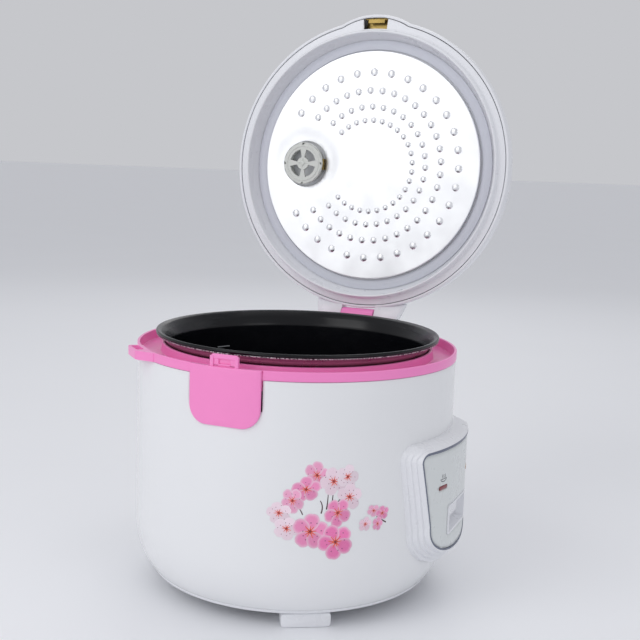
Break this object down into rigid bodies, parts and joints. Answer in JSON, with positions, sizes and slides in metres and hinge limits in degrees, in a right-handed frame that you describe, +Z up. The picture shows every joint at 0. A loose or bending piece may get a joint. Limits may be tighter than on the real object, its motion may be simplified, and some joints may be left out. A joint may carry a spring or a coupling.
{
  "type": "rice cooker",
  "caption": "Round electric rice cooker with a hinged lid held open, lift-out pot, press latch, rice-paddle loop and a raised control panel with a cook key.",
  "frame": {"origin": "bottom centre of the bounding box with the lid open; the axis of the round body stands at x -4.800 mm, y -37.326 mm and the feet stand on z = 0", "axes": "+Z up, -Y towards the latch, +Y towards the lid hinge, +X out of the control panel"},
  "size_m": [0.2922, 0.353, 0.5079],
  "materials": {
    "shell_enamel": "gloss baked enamel, white",
    "white_plastic": "moulded, semi-gloss",
    "pink_plastic": "moulded, satin gloss",
    "panel_grey": "moulded, satin",
    "trim_slate": "moulded, gloss",
    "lens_red": "clear red, gloss",
    "lens_amber": "clear amber, gloss",
    "nonstick_aluminium": "black non-stick coating, semi-gloss",
    "aluminium": "spun sheet, satin",
    "zinc_steel": "zinc plated",
    "spring_steel": "bright",
    "brass": "rolled, satin",
    "silicone": "moulded, matt",
    "black_plastic": "moulded, matt",
    "mica": "wrapped sheet, matt",
    "lamp_glass": "clear"
  },
  "bodies": {
    "cooker_body": {"outer_shell": "shell_enamel", "base_cover": "white_plastic", "foot_1": "white_plastic", "foot_2": "white_plastic", "foot_3": "white_plastic", "upper_ring": "pink_plastic", "hinge_pin": "spring_steel", "hinge_spring": "spring_steel", "latch_pin": "spring_steel", "latch_spring": "spring_steel", "heat_shield_drum": "zinc_steel", "heating_plate": "aluminium", "heater_element": "spring_steel", "plate_stand": "zinc_steel", "sensor_holder": "zinc_steel", "sensor_spring": "spring_steel", "lever_bracket": "zinc_steel", "lever_pin": "spring_steel", "microswitch": "black_plastic", "panel_housing": "white_plastic", "panel_trim": "trim_slate", "panel_face": "panel_grey", "switch_well": "white_plastic", "lamp_lens_cook": "lens_red", "lamp_lens_warm": "lens_amber", "neon_lamp_cook": "lamp_glass", "neon_lamp_warm": "lamp_glass", "power_inlet": "black_plastic", "inlet_pin_live": "brass", "inlet_pin_neutral": "brass", "inlet_pin_earth": "brass", "terminal_block": "black_plastic", "thermal_fuse": "brass", "keep_warm_band": "mica", "lead_live": "black_plastic", "lead_neutral": "black_plastic", "lead_switch": "black_plastic", "base_screw_1": "spring_steel", "base_screw_2": "spring_steel", "base_screw_3": "spring_steel"},
    "lid": {"lid_cover": "white_plastic", "lid_liner": "white_plastic", "lid_plate": "aluminium", "lid_gasket": "silicone", "steam_valve_disc": "panel_grey", "steam_duct": "panel_grey", "valve_clip": "brass", "strike_plate": "brass", "lid_screw_1": "spring_steel", "lid_screw_2": "spring_steel", "lid_screw_3": "spring_steel", "lid_screw_4": "spring_steel"},
    "steam_cap": {"steam_cap": "white_plastic"},
    "latch": {"latch_lever": "pink_plastic"},
    "pot": {"inner_pot": "nonstick_aluminium"},
    "thermostat": {"thermostat_cup": "aluminium"},
    "cook_key": {"cook_key": "white_plastic"},
    "magnet_lever": {"magnet_lever": "zinc_steel"},
    "magnet": {"magnet_rod": "black_plastic"}
  },
  "joints": [
    {"name": "lid_hinge", "type": "hinge", "parent": "cooker_body", "child": "lid", "pos_m": [-0.0048, 0.11317, 0.2115], "axis": [-1, 0, 0], "range_deg": [-93.15, 0], "stiffness_Nm_per_rad": 0.9, "springref_deg": 20.05},
    {"name": "latch_press", "type": "hinge", "parent": "cooker_body", "child": "latch", "pos_m": [-0.0048, -0.16683, 0.171], "axis": [-1, 0, 0], "range_deg": [0, 3], "stiffness_Nm_per_rad": 1, "springref_deg": -4.58, "deforming": ["latch_spring"]},
    {"name": "pot_lift", "type": "slide", "parent": "cooker_body", "child": "pot", "axis": [0, 0, 1], "range_m": [0, 0.17]},
    {"name": "sensor_press", "type": "slide", "parent": "cooker_body", "child": "thermostat", "axis": [0, 0, 1], "range_m": [-0.002, 0], "stiffness_N_per_m": 300, "springref_m": 0.005, "deforming": ["sensor_spring"]},
    {"name": "cook_key_press", "type": "slide", "parent": "cooker_body", "child": "cook_key", "axis": [0, 0, -1], "range_m": [0, 0.006], "stiffness_N_per_m": 150, "springref_m": -0.006},
    {"name": "magnet_lever_turn", "type": "hinge", "parent": "cooker_body", "child": "magnet_lever", "pos_m": [0.0402, -0.03733, 0.0255], "axis": [0, 1, 0], "range_deg": [0, 4.4]},
    {"name": "magnet_lift", "type": "slide", "parent": "cooker_body", "child": "magnet", "axis": [0, 0, 1], "range_m": [0, 0.00345]},
    {"name": "steam_cap_lift", "type": "slide", "parent": "lid", "child": "steam_cap", "axis": [0, 0.9985, -0.055], "range_m": [0, 0.03]}
  ],
  "couplings": [
    {"joint": "magnet_lever_turn", "follows": "cook_key_press", "rad_per_m": 12.658},
    {"joint": "magnet_lift", "follows": "cook_key_press", "ratio": 0.5696}
  ]
}
